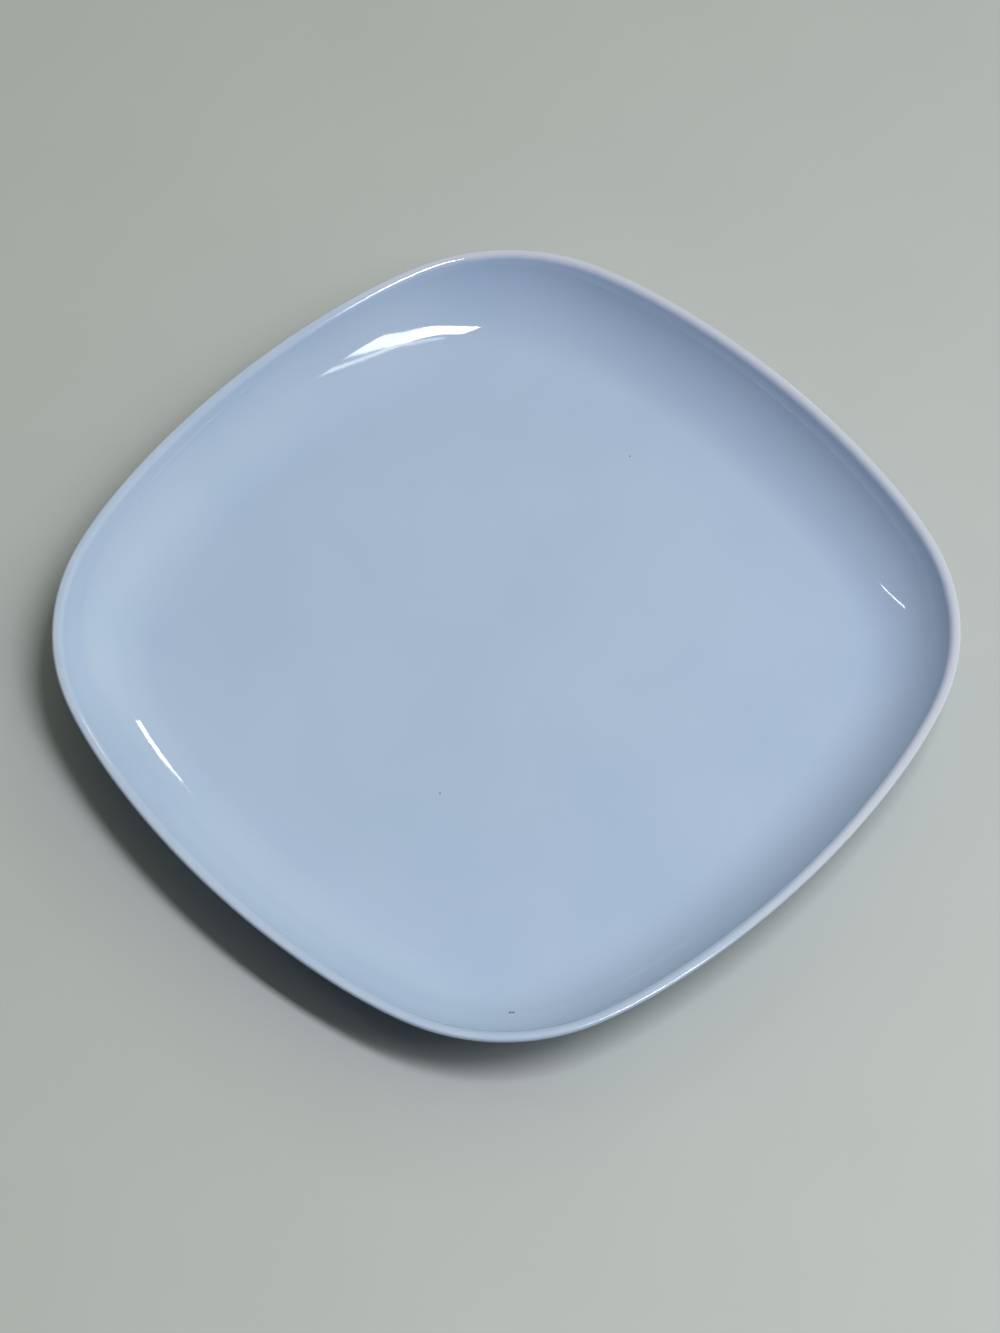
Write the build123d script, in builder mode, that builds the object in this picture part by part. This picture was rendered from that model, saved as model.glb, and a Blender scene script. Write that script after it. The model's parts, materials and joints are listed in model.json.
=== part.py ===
from build123d import *
from math import acos, atan2, degrees, sin, sqrt
import os

os.makedirs("parts", exist_ok=True)

# A square coupe dinner plate: a pressed porcelain body with a foot ring, under two coats of glaze.
# The origin is on the table, under the middle of the plate, and the sides face +X, +Y, -X and -Y.

# Driving dimensions in millimetres, over the glaze where a surface is glazed
plate_width = 250.0  # across the middles of two opposite sides
side_bow_radius = 263.0  # plan radius of each bowed side
corner_radius = 70.0  # plan radius of each corner
well_depth = 18.0  # lip to eating surface
wall_curve_radius = 28.0  # inside of the wall, from the eating surface up to the lip
back_curve_radius = 33.0  # outside of the wall, from the underside up to the lip
lip_shoulder_radius = 2.5  # where the inside of the wall turns over onto the lip
lip_land = 0.5  # flat top of the lip
lip_edge_radius = 0.8  # outer edge of the lip
base_thickness = 4.6  # eating surface to underside, outside the foot ring
foot_height = 3.0  # table to underside, outside the foot ring
foot_setback = 9.0  # end of the back's curve to the outer face of the foot ring
foot_width = 5.0  # between the bare faces of the foot ring
foot_root_radius = 1.0  # fillets where the foot ring meets the underside
foot_edge_radius = 0.7  # rounding of the bare bearing edge
recess_depth = 2.6  # table to underside, within the foot ring
glaze_thickness = 0.3

# Heights and half sizes
half_width = plate_width / 2
floor_height = foot_height + base_thickness
plate_height = floor_height + well_depth

# Plan: four bowed sides, each running smoothly into two corners
side_centre = half_width - side_bow_radius
arc_reach = side_bow_radius - corner_radius
corner_centre = (side_centre + sqrt(2 * arc_reach**2 - side_centre**2)) / 2
side_half_angle = degrees(atan2(corner_centre, corner_centre - side_centre))
corner_angle = 90 - 2 * side_half_angle

# Section: the wall's curve runs over a soft shoulder to the lip's land, and its edge into the back's curve
edge_x = half_width - lip_edge_radius
edge_z = plate_height - lip_edge_radius
shoulder_x = edge_x - lip_land
shoulder_z = plate_height - lip_shoulder_radius
wall_z = floor_height + wall_curve_radius
wall_reach = wall_curve_radius + lip_shoulder_radius
wall_slope = acos((wall_z - shoulder_z) / wall_reach)
wall_angle = degrees(wall_slope)
wall_x = shoulder_x - wall_reach * sin(wall_slope)
back_z = foot_height + back_curve_radius
back_reach = back_curve_radius - lip_edge_radius
back_slope = acos((back_z - edge_z) / back_reach)
back_angle = degrees(back_slope)
back_x = edge_x - back_reach * sin(back_slope)

# Section: the bare faces of the foot ring, and the slab that starts where its inner fillet runs out
foot_outer_x = back_x - foot_setback - glaze_thickness
foot_inner_x = foot_outer_x - foot_width
slab_x = foot_inner_x - glaze_thickness - foot_root_radius


def plan_outline(inset):
    """The plate's outline, an even distance inside its edge, from the middle of the +X side round."""
    with BuildLine() as line:
        for quarter in range(4):
            turn = 90 * quarter
            side = Vector(side_centre, 0).rotate(Axis.Z, turn)
            corner = Vector(corner_centre, corner_centre).rotate(Axis.Z, turn)
            next_side = Vector(0, side_centre).rotate(Axis.Z, turn)
            CenterArc(side, side_bow_radius - inset, turn, side_half_angle)
            CenterArc(corner, corner_radius - inset, turn + side_half_angle, corner_angle)
            CenterArc(next_side, side_bow_radius - inset, turn + 90 - side_half_angle, side_half_angle)
    return line.wire()


def outer_line(cover):
    """The surface from the slab over floor, wall, lip and back to the foot, this far outside the body."""
    under = glaze_thickness - cover
    fillet_x = foot_outer_x + glaze_thickness + foot_root_radius
    fillet_z = foot_height - foot_root_radius
    with BuildLine() as line:
        Line((slab_x, floor_height - under), (wall_x, floor_height - under))
        CenterArc((wall_x, wall_z), wall_curve_radius + under, -90, wall_angle)
        CenterArc((shoulder_x, shoulder_z), lip_shoulder_radius - under, 90 + wall_angle, -wall_angle)
        Line((shoulder_x, plate_height - under), (edge_x, plate_height - under))
        CenterArc((edge_x, edge_z), lip_edge_radius - under, 90, back_angle - 180)
        CenterArc((back_x, back_z), back_curve_radius - under, back_angle - 90, -back_angle)
        Line((back_x, foot_height + under), (fillet_x, foot_height + under))
        CenterArc((fillet_x, fillet_z), foot_root_radius + under, 90, 90)
        Line((foot_outer_x + cover, fillet_z), (foot_outer_x + cover, foot_edge_radius))
    return line.line


def base_line(cover):
    """The surface from the foot's inner face up to the slab in the recess, this far outside the body."""
    under = glaze_thickness - cover
    fillet_z = recess_depth - foot_root_radius
    with BuildLine() as line:
        Line((foot_inner_x - cover, foot_edge_radius), (foot_inner_x - cover, fillet_z))
        CenterArc((slab_x, fillet_z), foot_root_radius + under, 0, 90)
    return line.line


def coat_section(body_side, glazed_side):
    """The section of a coat of glaze, between the body's surface and its own."""
    with BuildSketch() as sketch:
        with BuildLine():
            add(body_side)
            add(glazed_side)
            Line(body_side @ 0, glazed_side @ 0)
            Line(body_side @ 1, glazed_side @ 1)
        make_face()
    return sketch.sketch


edge_path = plan_outline(0)
slab_edges = plan_outline(half_width - slab_x).edges()

# Porcelain body: the wall, lip and foot ring run round the plan, and a slab closes the middle
with BuildPart() as porcelain_body:
    with BuildSketch(Plane.XZ):
        with BuildLine():
            add(outer_line(0))
            CenterArc((foot_outer_x - foot_edge_radius, foot_edge_radius), foot_edge_radius, 0, -90)
            Line((foot_outer_x - foot_edge_radius, 0), (foot_inner_x + foot_edge_radius, 0))
            CenterArc((foot_inner_x + foot_edge_radius, foot_edge_radius), foot_edge_radius, -90, -90)
            add(base_line(0))
            Line((slab_x, recess_depth + glaze_thickness), (slab_x, floor_height - glaze_thickness))
        make_face()
    sweep(path=edge_path)
    with BuildSketch(Plane.XY.offset(recess_depth + glaze_thickness)):
        make_face(slab_edges)
    extrude(amount=floor_height - recess_depth - 2 * glaze_thickness)

# Outer glaze: over floor, wall, lip and back, down to the bare edge of the foot ring
with BuildPart() as outer_glaze:
    with BuildSketch(Plane.XZ):
        add(coat_section(outer_line(0), outer_line(glaze_thickness)))
    sweep(path=edge_path)
    with BuildSketch(Plane.XY.offset(floor_height - glaze_thickness)):
        make_face(slab_edges)
    extrude(amount=glaze_thickness)

# Base glaze: the recess within the foot ring
with BuildPart() as base_glaze:
    with BuildSketch(Plane.XZ):
        add(coat_section(base_line(0), base_line(glaze_thickness)))
    sweep(path=edge_path)
    with BuildSketch(Plane.XY.offset(recess_depth)):
        make_face(slab_edges)
    extrude(amount=glaze_thickness)

porcelain_body.part.label = "porcelain_body"
outer_glaze.part.label = "outer_glaze"
base_glaze.part.label = "base_glaze"
export_step(porcelain_body.part, "parts/porcelain_body.step")
export_step(outer_glaze.part, "parts/outer_glaze.step")
export_step(base_glaze.part, "parts/base_glaze.step")
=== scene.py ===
import json
from math import acos, atan2, cos, degrees, pi, radians, sin, sqrt

import bpy
import numpy as np
from mathutils import Matrix, Vector


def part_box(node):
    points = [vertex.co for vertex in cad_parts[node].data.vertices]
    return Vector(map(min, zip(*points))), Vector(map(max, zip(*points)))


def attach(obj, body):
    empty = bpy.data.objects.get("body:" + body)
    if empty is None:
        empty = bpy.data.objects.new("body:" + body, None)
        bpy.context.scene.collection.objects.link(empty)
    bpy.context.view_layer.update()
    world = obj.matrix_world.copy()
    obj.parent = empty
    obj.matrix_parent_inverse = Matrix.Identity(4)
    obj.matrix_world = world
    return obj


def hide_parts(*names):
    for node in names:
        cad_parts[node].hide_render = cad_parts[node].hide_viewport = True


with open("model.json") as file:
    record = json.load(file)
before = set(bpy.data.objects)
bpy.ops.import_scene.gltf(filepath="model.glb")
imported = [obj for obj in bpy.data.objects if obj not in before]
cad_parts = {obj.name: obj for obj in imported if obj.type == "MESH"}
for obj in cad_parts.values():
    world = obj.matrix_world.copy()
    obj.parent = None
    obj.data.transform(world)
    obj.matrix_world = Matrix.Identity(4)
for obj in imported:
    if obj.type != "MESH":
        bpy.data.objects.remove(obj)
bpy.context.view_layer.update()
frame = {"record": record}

# A square coupe dinner plate in pale blue glaze on porcelain, standing on a plain pale floor.
# Lengths of the plate are in millimetres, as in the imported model's source. The stage is in metres.
MM = 0.001

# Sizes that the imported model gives
coat_low, coat_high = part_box("outer_glaze")
base_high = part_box("base_glaze")[1]
body_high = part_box("porcelain_body")[1]
mounts = {mount["name"]: Vector(mount["pos_m"]) / MM for mount in frame["record"]["mounts"]}
half_width = coat_high.x / MM
plate_height = coat_high.z / MM
floor_height = mounts["eating_surface"].z
glaze_thickness = (coat_high.x - body_high.x) / MM
foot_edge_radius = coat_low.z / MM
foot_inner_x = base_high.x / MM
foot_outer_x = 2 * mounts["foot_ring"].x - foot_inner_x
recess_depth = base_high.z / MM - glaze_thickness

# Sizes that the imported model's boxes and mounts don't show. The plan's curves ease into one another here,
# so its two radii aren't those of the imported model's plain arcs. The outlines agree within 0.15 mm.
side_bow_radius = 275.0
corner_radius = 68.0
wall_curve_radius = 28.0
back_curve_radius = 33.0
lip_shoulder_radius = 2.5
lip_land = 0.5
lip_edge_radius = 0.8
foot_height = 3.0
foot_root_radius = 1.0

# Plan: four bowed sides, each running smoothly into two corners
side_centre = half_width - side_bow_radius
arc_reach = side_bow_radius - corner_radius
corner_centre = (side_centre + sqrt(2 * arc_reach**2 - side_centre**2)) / 2
side_half_angle = atan2(corner_centre, corner_centre - side_centre)

# Section: the wall's curve runs over a soft shoulder to the lip's land, and its edge into the back's curve
edge_x = half_width - lip_edge_radius
edge_z = plate_height - lip_edge_radius
shoulder_x = edge_x - lip_land
shoulder_z = plate_height - lip_shoulder_radius
wall_z = floor_height + wall_curve_radius
wall_reach = wall_curve_radius + lip_shoulder_radius
wall_slope = acos((wall_z - shoulder_z) / wall_reach)
wall_angle = degrees(wall_slope)
wall_x = shoulder_x - wall_reach * sin(wall_slope)
back_z = foot_height + back_curve_radius
back_reach = back_curve_radius - lip_edge_radius
back_slope = acos((back_z - edge_z) / back_reach)
back_angle = degrees(back_slope)
back_x = edge_x - back_reach * sin(back_slope)
slab_x = foot_inner_x - glaze_thickness - foot_root_radius

# Half the turn over which a side's curve eases into a corner's
EASE_ANGLE = radians(10)

# How finely the plate is divided: points round half a corner and along a side, and steps across the section
PLAN_STEPS = 900
HALF_CORNER_STEPS = 14
SIDE_STEPS = 36
QUARTER_STEPS = 2 * HALF_CORNER_STEPS + SIDE_STEPS
ROUND_STEPS = 4 * QUARTER_STEPS
FLAT_STEPS = 4
WALL_STEPS = 36
LIP_STEPS = 14
FILLET_STEPS = 6

# Points of the section closer than this are one, and faces that meet at a larger angle share a sharp edge
SAME_POINT = 0.001
SHARP_ANGLE = radians(40)


def run(start, end, steps):
    """Points of a straight stretch of the section."""
    return np.linspace(start, end, steps + 1)


def arc(x, z, radius, start, turn, steps):
    """Points of a round stretch of the section, from a start angle through a turn, in degrees."""
    angles = np.radians(np.linspace(start, start + turn, steps + 1))
    return np.column_stack([x + radius * np.cos(angles), z + radius * np.sin(angles)])


def joined(*stretches):
    """Stretches of the section in a row, each point once."""
    points = np.concatenate(stretches)
    steps = np.linalg.norm(np.diff(points, axis=0), axis=1)
    return points[np.concatenate([[True], steps > SAME_POINT])]


def outer_line(cover):
    """The section from the slab over floor, wall, lip and back to the foot, this far outside the body."""
    under = glaze_thickness - cover
    fillet_x = foot_outer_x + glaze_thickness + foot_root_radius
    fillet_z = foot_height - foot_root_radius
    return joined(
        run((slab_x, floor_height - under), (wall_x, floor_height - under), FLAT_STEPS),
        arc(wall_x, wall_z, wall_curve_radius + under, -90, wall_angle, WALL_STEPS),
        arc(shoulder_x, shoulder_z, lip_shoulder_radius - under, 90 + wall_angle, -wall_angle, LIP_STEPS),
        arc(edge_x, edge_z, lip_edge_radius - under, 90, back_angle - 180, LIP_STEPS),
        arc(back_x, back_z, back_curve_radius - under, back_angle - 90, -back_angle, WALL_STEPS),
        run((back_x, foot_height + under), (fillet_x, foot_height + under), FLAT_STEPS),
        arc(fillet_x, fillet_z, foot_root_radius + under, 90, 90, FILLET_STEPS),
        run((foot_outer_x + cover, fillet_z), (foot_outer_x + cover, foot_edge_radius), 1),
    )


def base_line(cover):
    """The section from the foot's inner face up to the slab in the recess, this far outside the body."""
    under = glaze_thickness - cover
    fillet_z = recess_depth - foot_root_radius
    return joined(
        run((foot_inner_x - cover, foot_edge_radius), (foot_inner_x - cover, fillet_z), 1),
        arc(slab_x, fillet_z, foot_root_radius + under, 0, 90, FILLET_STEPS),
    )


def foot_line():
    """The section of the bare bearing edge, from the foot's outer face to its inner one."""
    outer_x = foot_outer_x - foot_edge_radius
    inner_x = foot_inner_x + foot_edge_radius
    return joined(
        arc(outer_x, foot_edge_radius, foot_edge_radius, 0, -90, FILLET_STEPS),
        run((outer_x, 0), (inner_x, 0), FLAT_STEPS),
        arc(inner_x, foot_edge_radius, foot_edge_radius, -90, -90, FILLET_STEPS),
    )


def plan_curve():
    """Facing directions and points of an eighth of the outline, whose sides ease into the corners."""
    turn = pi / 4 / PLAN_STEPS
    facing = (np.arange(PLAN_STEPS) + 0.5) * turn
    share = np.clip((facing - side_half_angle) / (2 * EASE_ANGLE) + 0.5, 0, 1)
    share = share**2 * (3 - 2 * share)
    pull = (np.sin(facing) + np.cos(facing)) * turn
    # The corner's radius is the one at which the outline meets its mirror image on the diagonal
    corner_part = half_width - side_bow_radius * np.sum((1 - share) * pull)
    eased_corner_radius = corner_part / np.sum(share * pull)
    step = (side_bow_radius * (1 - share) + eased_corner_radius * share) * turn
    x = half_width - np.concatenate([[0], np.cumsum(step * np.sin(facing))])
    y = np.concatenate([[0], np.cumsum(step * np.cos(facing))])
    return np.linspace(0, pi / 4, PLAN_STEPS + 1), x, y


def plan_angles():
    """The directions that one quarter of the outline faces, from the middle of a corner to the next."""
    corner = np.linspace(-pi / 4, -side_half_angle, HALF_CORNER_STEPS + 1)[:-1]
    side = np.linspace(-side_half_angle, side_half_angle, SIDE_STEPS + 1)[:-1]
    next_corner = np.linspace(side_half_angle, pi / 4, HALF_CORNER_STEPS + 1)[:-1]
    return np.concatenate([corner, side, next_corner])


def plan_ring(inset):
    """Points round the plate's outline, an even distance inside its edge."""
    facing = plan_angles()
    curve_facing, curve_x, curve_y = plan_curve()
    x = np.interp(np.abs(facing), curve_facing, curve_x) - inset * np.cos(facing)
    y = np.sign(facing) * np.interp(np.abs(facing), curve_facing, curve_y) - inset * np.sin(facing)
    quarters = [(x, y), (-y, x), (-x, -y), (y, -x)]
    return np.concatenate([np.column_stack(quarter) for quarter in quarters])


def ring_loops(count):
    """Corner numbers of this many rings in a row, each closed by its first corner."""
    loops = np.arange(count * ROUND_STEPS).reshape(count, ROUND_STEPS)
    return np.concatenate([loops, loops[:, :1]], axis=1)


def middle_grid(ring, first, spare):
    """Corner numbers of the grid that fills a ring, and its inner points.

    The grid's edge is the ring, numbered from first. Its inner points are numbered from spare.
    """
    n = QUARTER_STEPS
    numbers = np.zeros((n + 1, n + 1), int)
    steps = np.arange(n + 1)
    numbers[n, :] = steps
    numbers[:, n] = 2 * n - steps
    numbers[0, :] = 3 * n - steps
    numbers[:, 0] = (3 * n + steps) % ROUND_STEPS
    across = steps[:, None, None] / n
    along = steps[None, :, None] / n
    left, right = ring[numbers[0, :]][None], ring[numbers[n, :]][None]
    low, high = ring[numbers[:, 0]][:, None], ring[numbers[:, n]][:, None]
    points = (1 - across) * left + across * right + (1 - along) * low + along * high
    for i, j, weight in (
        (0, 0, (1 - across) * (1 - along)),
        (n, 0, across * (1 - along)),
        (0, n, (1 - across) * along),
        (n, n, across * along),
    ):
        points = points - weight * ring[numbers[i, j]]
    numbers += first
    numbers[1:n, 1:n] = spare + np.arange((n - 1) ** 2).reshape(n - 1, n - 1)
    return numbers, points[1:n, 1:n].reshape(-1, 2)


def quads(numbers):
    """The faces of a grid of corner numbers, facing up where its first axis is +X and its second +Y."""
    corners = [numbers[:-1, :-1], numbers[1:, :-1], numbers[1:, 1:], numbers[:-1, 1:]]
    return np.stack(corners, axis=-1).reshape(-1, 4)


def bake_layout(section, islands, flat, top, low):
    """Places of all face corners in the bake picture, where stretches of the section lie rolled out."""
    corners = []
    first = 0
    for last, (middle, reach) in islands:
        stretch = section[first : last + 1]
        steps = np.linalg.norm(np.diff(stretch, axis=0), axis=1)
        along = np.concatenate([[0], np.cumsum(steps)])
        # Rings are set out by their distance along the section, and mirrored where it ends further in
        outwards = stretch[-1, 0] > stretch[0, 0]
        away = stretch[0, 0] + along if outwards else stretch[-1, 0] + along[-1] - along
        scale = reach / away.max() * np.array([1 if outwards else -1, 1])
        rings = np.concatenate([plan_ring(half_width - x) for x in away])
        # The slab's top fills the middle of the first island
        if first == 0:
            corners.append(flat[quads(top)] * scale + middle)
        corners.append(rings[quads(ring_loops(len(away)))] * scale + middle)
        first = last
    # The slab's underside fills the middle of the last island
    corners.append(flat[quads(low)[:, ::-1]] * scale + middle)
    return np.concatenate(corners)


def lip_distances(section, inner_count):
    """How far each point of a piece is from the lip's middle, with the slabs' inner points far away."""
    lip_x = (edge_x + shoulder_x) / 2
    round_section = np.hypot(section[:, 0] - lip_x, section[:, 1] - plate_height)
    return np.append(np.repeat(round_section, ROUND_STEPS), np.full(inner_count, half_width))


def plate_piece(name, section, material, islands):
    """A closed piece whose section runs from the top slab's edge round to the underside slab's edge."""
    rings = [plan_ring(half_width - x) for x, z in section]
    last = (len(section) - 1) * ROUND_STEPS
    spare = len(section) * ROUND_STEPS
    top, top_points = middle_grid(rings[0], 0, spare)
    low, low_points = middle_grid(rings[-1], last, spare + len(top_points))
    flat = np.concatenate(rings + [top_points, low_points])
    heights = np.concatenate(
        [
            np.repeat(section[:, 1], ROUND_STEPS),
            np.full(len(top_points), section[0, 1]),
            np.full(len(low_points), section[-1, 1]),
        ]
    )
    faces = np.concatenate([quads(top), quads(ring_loops(len(section))), quads(low)[:, ::-1]])
    mesh = bpy.data.meshes.new(name)
    mesh.from_pydata(np.column_stack([flat, heights]) * MM, [], faces.tolist())
    mesh.shade_smooth()
    mesh.set_sharp_from_angle(angle=SHARP_ANGLE)
    mesh.materials.append(material)
    layout = bake_layout(section, islands, flat, top, low)
    mesh.uv_layers.new(name="OFBake").uv.foreach_set("vector", layout.ravel())
    from_lip = lip_distances(section, len(top_points) + len(low_points))
    mesh.attributes.new("from_lip", "FLOAT", "POINT").data.foreach_set("value", from_lip)
    piece = bpy.data.objects.new(name, mesh)
    bpy.context.scene.collection.objects.link(piece)
    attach(piece, "root")
    return piece


# A mix node's sockets for colours, which share their names with its sockets for other kinds
MIX_FIRST = 6
MIX_SECOND = 7
MIX_RESULT = 2

# Where most of a noise pattern lies, between 0 and 1
NOISE_LOW = 0.3
NOISE_HIGH = 0.7


def add(tree, kind, inputs, **settings):
    """A new node with these settings, each input set to a value or joined to another node's output."""
    made = tree.nodes.new(kind)
    for name, value in settings.items():
        setattr(made, name, value)
    for key, value in inputs.items():
        if isinstance(value, bpy.types.NodeSocket):
            tree.links.new(value, made.inputs[key])
        else:
            made.inputs[key].default_value = value
    return made


def noise(tree, place, size, detail):
    """A cloudy pattern with features of about this size in millimetres, from 0 to 1."""
    inputs = {"Vector": place, "Scale": 1 / (size * MM), "Detail": detail}
    return add(tree, "ShaderNodeTexNoise", inputs).outputs["Fac"]


def remap(tree, value, low, high, to_low, to_high):
    """A value carried smoothly from one range to another."""
    inputs = {"Value": value, "From Min": low, "From Max": high, "To Min": to_low, "To Max": to_high}
    return add(tree, "ShaderNodeMapRange", inputs, interpolation_type="SMOOTHSTEP").outputs["Result"]


def mixed(tree, share, first, second):
    """Two colours mixed by a share of the second."""
    made = add(tree, "ShaderNodeMix", {"Factor": share}, data_type="RGBA")
    for socket, colour in ((made.inputs[MIX_FIRST], first), (made.inputs[MIX_SECOND], second)):
        if isinstance(colour, bpy.types.NodeSocket):
            tree.links.new(colour, socket)
        else:
            socket.default_value = (*colour, 1)
    return made.outputs[MIX_RESULT]


def maths(tree, operation, first, second):
    """The sum, product or other result of two values."""
    return add(tree, "ShaderNodeMath", {0: first, 1: second}, operation=operation).outputs[0]


def gathered(tree, operation, values):
    """The sum, largest or other result of a row of values."""
    result = values[0]
    for value in values[1:]:
        result = maths(tree, operation, result, value)
    return result


def vector_value(tree, operation, *vectors):
    """The length, distance or other single value that comes of one or two vectors."""
    return add(tree, "ShaderNodeVectorMath", dict(enumerate(vectors)), operation=operation).outputs["Value"]


def add_relief(tree, shader, pattern, strength, height):
    """Fine relief on a shader's surface, whose height is in millimetres."""
    bump = add(tree, "ShaderNodeBump", {"Height": pattern, "Strength": strength, "Distance": height * MM})
    tree.links.new(bump.outputs["Normal"], shader.inputs["Normal"])


def new_material(name):
    """A material with its node tree, main shader and a place output in the plate's frame."""
    material = bpy.data.materials.new(name)
    material.use_nodes = True
    tree = material.node_tree
    place = tree.nodes.new("ShaderNodeTexCoord").outputs["Object"]
    return material, tree, tree.nodes["Principled BSDF"], place


# Glaze: its two clouded blues, the paler colour where it runs thin over the lip and where sheen is painted
# on the lip's lit side, and its specks
DEEP_BLUE = (0.378, 0.487, 0.715)
PALE_BLUE = (0.402, 0.505, 0.732)
THIN_GLAZE_AND_SHEEN = (0.525, 0.556, 0.715)
SPECK_COLOUR = (0.13, 0.14, 0.16)
BLUE_CLOUD_SIZE = 45.0
GLAZE_SMEAR_SIZE = 30.0
GLAZE_SMEAR_RANGE = (0.35, 0.75)
GLAZE_ROUGHNESS = (0.03, 0.06)
GLAZE_IOR = 1.5
RIPPLE_SIZE = 5.0
RIPPLE_STRENGTH = 0.25
RIPPLE_HEIGHT = 0.02

# The pale band along the lip, thin glaze widened by painted sheen on the lit side: how far from the lip's
# middle it is whole and where it ends, how ragged its end is, and how much narrower it gets away from the
# side with the painted sheen, between two places along that direction
BAND_WHOLE = 0.9
BAND_END = 3.2
BAND_RAGGED = 0.3
BAND_RAGGED_SIZE = 6.0
BAND_LESS = 1.9
SHEEN_SIDE = (0.97, -0.26, 0)
SHEEN_SIDE_START = -20.0
SHEEN_SIDE_END = 90.0

# Specks in the glaze: place and radius, and the share of the radius within which a speck is whole
SPECKS = (
    (-86.3, -88.9, 11.4, 0.60),
    (-85.6, -89.5, 11.4, 0.55),
    (-49.4, -21.3, 7.6, 0.36),
    (77.7, 22.4, 7.6, 0.34),
)
SPECK_WHOLE = 0.5


def lip_band(tree, place):
    """The share of the glaze's paler colour: thin glaze, 1 on the lip, widened by painted sheen on the lit
    side, ending raggedly beside it.
    """
    from_lip = add(tree, "ShaderNodeAttribute", {}, attribute_name="from_lip").outputs["Fac"]
    towards = vector_value(tree, "DOT_PRODUCT", place, SHEEN_SIDE)
    # Painted sheen: the pale band widens towards the lit side of the lip
    narrower_off_sheen = remap(tree, towards, SHEEN_SIDE_START * MM, SHEEN_SIDE_END * MM, BAND_LESS, 0)
    edge_noise = noise(tree, place, BAND_RAGGED_SIZE, detail=2)
    ragged = remap(tree, edge_noise, NOISE_LOW, NOISE_HIGH, -BAND_RAGGED, BAND_RAGGED)
    reach = gathered(tree, "ADD", [from_lip, narrower_off_sheen, ragged])
    return remap(tree, reach, BAND_WHOLE, BAND_END, 1, 0)


def speck_dots(tree, place):
    """The share of the specks' colour, which is 1 in a speck and 0 beside it."""
    dots = []
    for x, y, z, radius in SPECKS:
        away = vector_value(tree, "DISTANCE", place, (x * MM, y * MM, z * MM))
        dots.append(remap(tree, away, SPECK_WHOLE * radius * MM, radius * MM, 1, 0))
    return gathered(tree, "MAXIMUM", dots)


def glaze_material():
    """Glossy pale blue glaze: faintly clouded, paler where it runs thin over the lip and with painted sheen
    on the lip's lit side, with a few specks.
    """
    material, tree, shader, place = new_material("blue_glaze")
    clouds = noise(tree, place, BLUE_CLOUD_SIZE, detail=3)
    blue = mixed(tree, remap(tree, clouds, NOISE_LOW, NOISE_HIGH, 0, 1), DEEP_BLUE, PALE_BLUE)
    banded = mixed(tree, lip_band(tree, place), blue, THIN_GLAZE_AND_SHEEN)
    specked = mixed(tree, speck_dots(tree, place), banded, SPECK_COLOUR)
    tree.links.new(specked, shader.inputs["Base Color"])
    smears = noise(tree, place, GLAZE_SMEAR_SIZE, detail=4)
    roughness = remap(tree, smears, *GLAZE_SMEAR_RANGE, *GLAZE_ROUGHNESS)
    tree.links.new(roughness, shader.inputs["Roughness"])
    shader.inputs["IOR"].default_value = GLAZE_IOR
    add_relief(tree, shader, noise(tree, place, RIPPLE_SIZE, detail=1), RIPPLE_STRENGTH, RIPPLE_HEIGHT)
    return material


# Bare porcelain: its two clouded creams, and the grey of the scuffs up to a small height over the table
DARK_CREAM = (0.74, 0.715, 0.67)
PALE_CREAM = (0.80, 0.785, 0.75)
SCUFF_GREY = (0.52, 0.51, 0.49)
CREAM_CLOUD_SIZE = 8.0
SCUFF_SIZE = 2.5
SCUFF_RANGE = (0.45, 0.7)
SCUFF_MOST = 0.6
SCUFF_HEIGHT = 0.4
GRAIN_SIZE = 0.35
GRAIN_STRENGTH = 0.5
GRAIN_HEIGHT = 0.05
PORCELAIN_ROUGHNESS = (0.6, 0.8)


def porcelain_material():
    """Bare fired porcelain: cream white and dry, with a fine grain and rubbed grey where it bears."""
    material, tree, shader, place = new_material("bare_porcelain")
    height = add(tree, "ShaderNodeSeparateXYZ", {"Vector": place}).outputs["Z"]
    cream = mixed(tree, noise(tree, place, CREAM_CLOUD_SIZE, detail=4), DARK_CREAM, PALE_CREAM)
    scuffs = remap(tree, noise(tree, place, SCUFF_SIZE, detail=5), *SCUFF_RANGE, 0, SCUFF_MOST)
    bearing = remap(tree, height, 0, SCUFF_HEIGHT * MM, 1, 0)
    worn = maths(tree, "MULTIPLY", scuffs, bearing)
    tree.links.new(mixed(tree, worn, cream, SCUFF_GREY), shader.inputs["Base Color"])
    grain = noise(tree, place, GRAIN_SIZE, detail=3)
    roughness = remap(tree, grain, NOISE_LOW, NOISE_HIGH, *PORCELAIN_ROUGHNESS)
    tree.links.new(roughness, shader.inputs["Roughness"])
    add_relief(tree, shader, grain, GRAIN_STRENGTH, GRAIN_HEIGHT)
    return material


glaze = glaze_material()
porcelain = porcelain_material()

# The sections of the three pieces
body_section = joined(outer_line(0), foot_line(), base_line(0))
outer_section = joined(outer_line(glaze_thickness), outer_line(0)[::-1])
base_section = joined(base_line(0)[::-1], base_line(glaze_thickness))

# Places for islands in the bake picture, which is 1 wide: the middle and the reach of each
LARGE = ((0.345, 0.345), 0.335)
SMALL_UPPER = ((0.845, 0.845), 0.145)
SMALL_LOWER = ((0.845, 0.345), 0.145)

# Islands of each piece: the ring of the section at which each ends, and its place
lip_ring = FLAT_STEPS + WALL_STEPS + LIP_STEPS
outer_rings = len(outer_line(0)) - 1
base_rings = len(base_line(0)) - 1
body_rings = len(body_section) - 1
body_islands = ((outer_rings, SMALL_LOWER), (body_rings - base_rings, LARGE), (body_rings, SMALL_UPPER))
outer_islands = ((lip_ring, LARGE), (outer_rings, SMALL_UPPER), (len(outer_section) - 1, SMALL_LOWER))
base_islands = ((base_rings, SMALL_LOWER), (len(base_section) - 1, LARGE))

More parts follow.
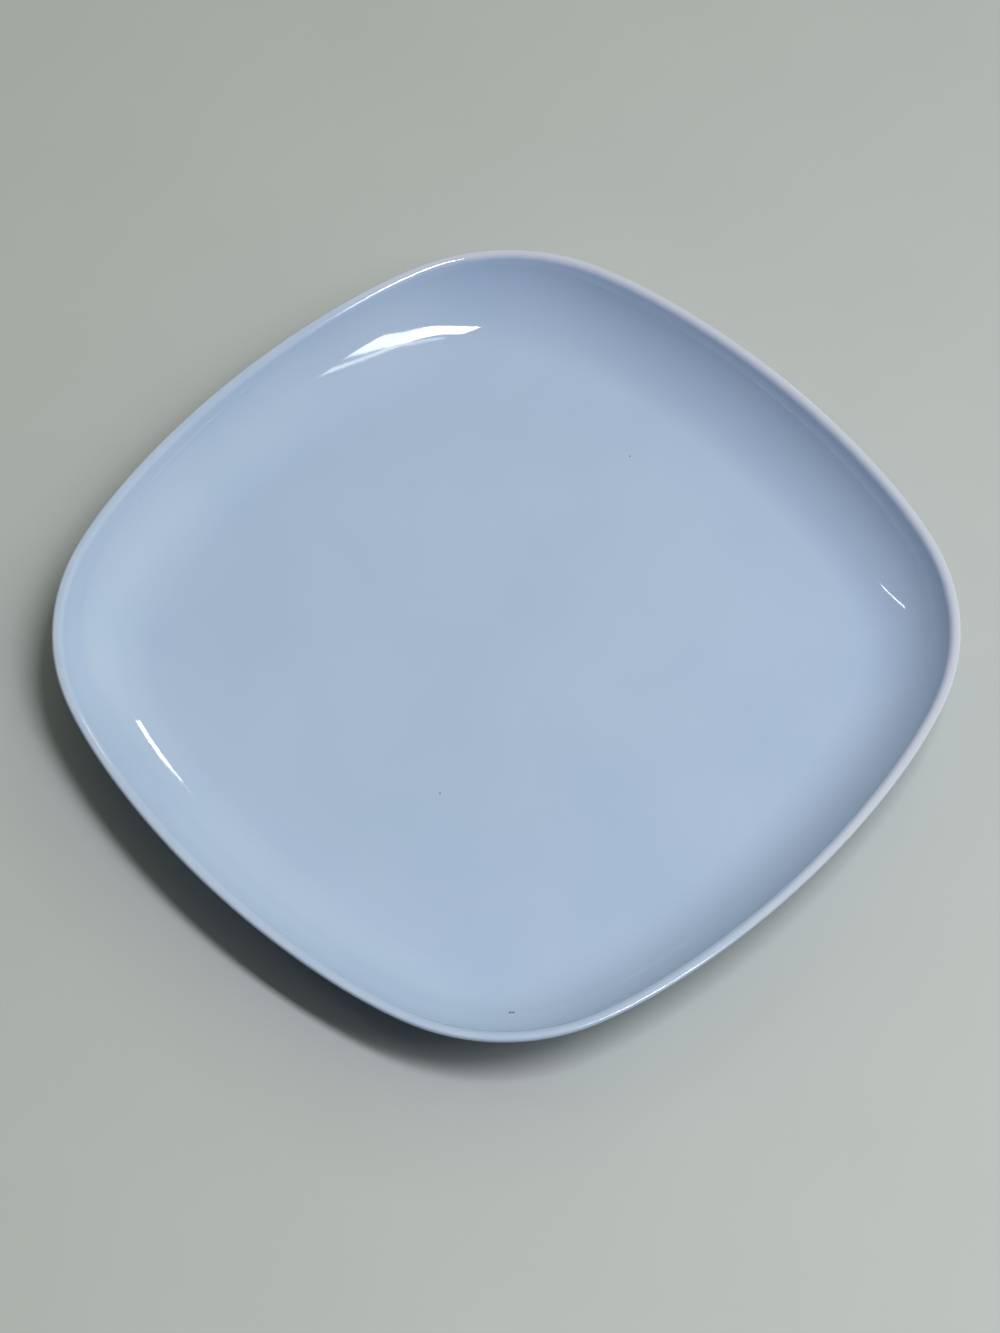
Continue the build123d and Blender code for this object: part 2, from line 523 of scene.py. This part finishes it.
body = plate_piece("plate_body", body_section, porcelain, body_islands)
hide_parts("porcelain_body")
outer_coat = plate_piece("plate_outer_glaze", outer_section, glaze, outer_islands)
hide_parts("outer_glaze")
base_coat = plate_piece("plate_base_glaze", base_section, glaze, base_islands)
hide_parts("base_glaze")

# Stage: a wide pale floor that fades into a pale surround, of the colour that the floor has under the lamps
FLOOR_COLOUR = (0.440, 0.470, 0.500)
FLOOR_CLOUDING = 0.03
FLOOR_CLOUD_SIZE = 60.0
FLOOR_ROUGHNESS = 0.6
SURROUND_COLOUR = (0.455, 0.490, 0.462)
FLOOR_REACH = 12.0
FADE_START = 0.26
FADE_END = 0.85


def floor_material():
    """Plain painted floor, faintly clouded, that turns into the surround's colour far from the plate."""
    material, tree, shader, place = new_material("pale_floor")
    clouds = noise(tree, place, FLOOR_CLOUD_SIZE, detail=3)
    paler = tuple((1 + FLOOR_CLOUDING) * part for part in FLOOR_COLOUR)
    darker = tuple((1 - FLOOR_CLOUDING) * part for part in FLOOR_COLOUR)
    tree.links.new(mixed(tree, clouds, darker, paler), shader.inputs["Base Color"])
    shader.inputs["Roughness"].default_value = FLOOR_ROUGHNESS
    fade = remap(tree, vector_value(tree, "LENGTH", place), FADE_START, FADE_END, 0, 1)
    seen = tree.nodes.new("ShaderNodeLightPath").outputs["Is Camera Ray"]
    surround = add(tree, "ShaderNodeEmission", {"Color": (*SURROUND_COLOUR, 1)}).outputs["Emission"]
    share = maths(tree, "MULTIPLY", fade, seen)
    blend = add(tree, "ShaderNodeMixShader", {0: share, 1: shader.outputs["BSDF"], 2: surround})
    tree.links.new(blend.outputs["Shader"], tree.nodes["Material Output"].inputs["Surface"])
    return material


floor_mesh = bpy.data.meshes.new("floor")
corners = [(x * FLOOR_REACH, y * FLOOR_REACH, 0) for x, y in ((-1, -1), (1, -1), (1, 1), (-1, 1))]
floor_mesh.from_pydata(corners, [], [(0, 1, 2, 3)])
floor_mesh.materials.append(floor_material())
floor = bpy.data.objects.new("floor", floor_mesh)
bpy.context.scene.collection.objects.link(floor)

# Lamps under one ceiling: place, heading in degrees, length, width and radiance. The two halves form one
# straight run of even width, brighter at its near end. The other lamps give the thinner streaks.
LAMP_HEIGHT = 1.3
LAMPS = (
    ("near_half", 0.177, -0.45, 99.6, 0.66, 0.127, 45.5),
    ("far_half", 0.288, -1.10, 99.6, 0.66, 0.127, 14),
    ("side_strip", 0.369, -0.94, 103.8, 0.78, 0.032, 8),
    ("near_strip", 0.271, -0.39, 92.7, 0.38, 0.022, 6),
    ("far_strip", -0.58, 1.29, 112, 0.92, 0.025, 22),
    ("side_lamp", 1.74, 0.705, 5, 0.34, 0.12, 18),
)


def ceiling_lamp(name, x, y, heading, length, width, radiance):
    """A long lamp that faces down from the ceiling."""
    data = bpy.data.lights.new(name, "AREA")
    data.shape = "RECTANGLE"
    data.size = length
    data.size_y = width
    data.energy = radiance * pi * length * width
    lamp = bpy.data.objects.new(name, data)
    lamp.location = (x, y, LAMP_HEIGHT)
    lamp.rotation_euler = (0, 0, radians(heading))
    bpy.context.scene.collection.objects.link(lamp)


for lamp in LAMPS:
    ceiling_lamp(*lamp)

# Surround: soft round patches of dim light, which the camera doesn't see. Each has a heading, an elevation
# and a strength, and fades out to nothing at the same angle from its middle.
FILL_PATCHES = ((-45, 15, 0.66), (0, 50, 0.50), (90, 15, 0.24))
FILL_COLOUR = (1, 1.02, 0.66)
FILL_REACH = radians(60)


def fill_patch(sky, direction, heading, elevation, strength):
    """The light of one patch in a direction of the sky."""
    turn = radians(heading)
    rise = radians(elevation)
    middle = (cos(rise) * cos(turn), cos(rise) * sin(turn), sin(rise))
    return remap(sky, vector_value(sky, "DOT_PRODUCT", direction, middle), cos(FILL_REACH), 1, 0, strength)


world = bpy.data.worlds.new("surround")
bpy.context.scene.world = world
world.use_nodes = True
sky = world.node_tree
direction = sky.nodes.new("ShaderNodeTexCoord").outputs["Generated"]
fill = gathered(sky, "ADD", [fill_patch(sky, direction, *patch) for patch in FILL_PATCHES])
soft = add(sky, "ShaderNodeBackground", {"Color": (*FILL_COLOUR, 1), "Strength": fill})
pale = sky.nodes["Background"]
pale.inputs["Color"].default_value = (*SURROUND_COLOUR, 1)
pale.inputs["Strength"].default_value = 1
seen = sky.nodes.new("ShaderNodeLightPath").outputs["Is Camera Ray"]
shown = {0: seen, 1: soft.outputs["Background"], 2: pale.outputs["Background"]}
choice = add(sky, "ShaderNodeMixShader", shown)
sky.links.new(choice.outputs["Shader"], sky.nodes["World Output"].inputs["Surface"])

# Camera: the photograph's view, from the -X -Y side and above
VIEW_ELEVATION = radians(61.039)
VIEW_HEADING = radians(43.362)
VIEW_ROLL = radians(-1.477)
VIEW_DISTANCE = 1.1048
VIEW_TARGET = Vector((-12.12, -9.81, edge_z)) * MM
LENS = 98.11
SENSOR_WIDTH = 36

camera_data = bpy.data.cameras.new("camera")
camera_data.lens = LENS
camera_data.sensor_width = SENSOR_WIDTH
camera = bpy.data.objects.new("camera", camera_data)
backward = Vector(
    (
        -sin(VIEW_HEADING) * cos(VIEW_ELEVATION),
        -cos(VIEW_HEADING) * cos(VIEW_ELEVATION),
        sin(VIEW_ELEVATION),
    )
)
level = Vector((cos(VIEW_HEADING), -sin(VIEW_HEADING), 0))
upward = backward.cross(level)
right = level * cos(VIEW_ROLL) + upward * sin(VIEW_ROLL)
up = upward * cos(VIEW_ROLL) - level * sin(VIEW_ROLL)
placing = Matrix((right, up, backward)).transposed().to_4x4()
placing.translation = VIEW_TARGET + backward * VIEW_DISTANCE
camera.matrix_world = placing
bpy.context.scene.collection.objects.link(camera)
bpy.context.scene.camera = camera

bpy.context.scene.view_settings.view_transform = "Standard"
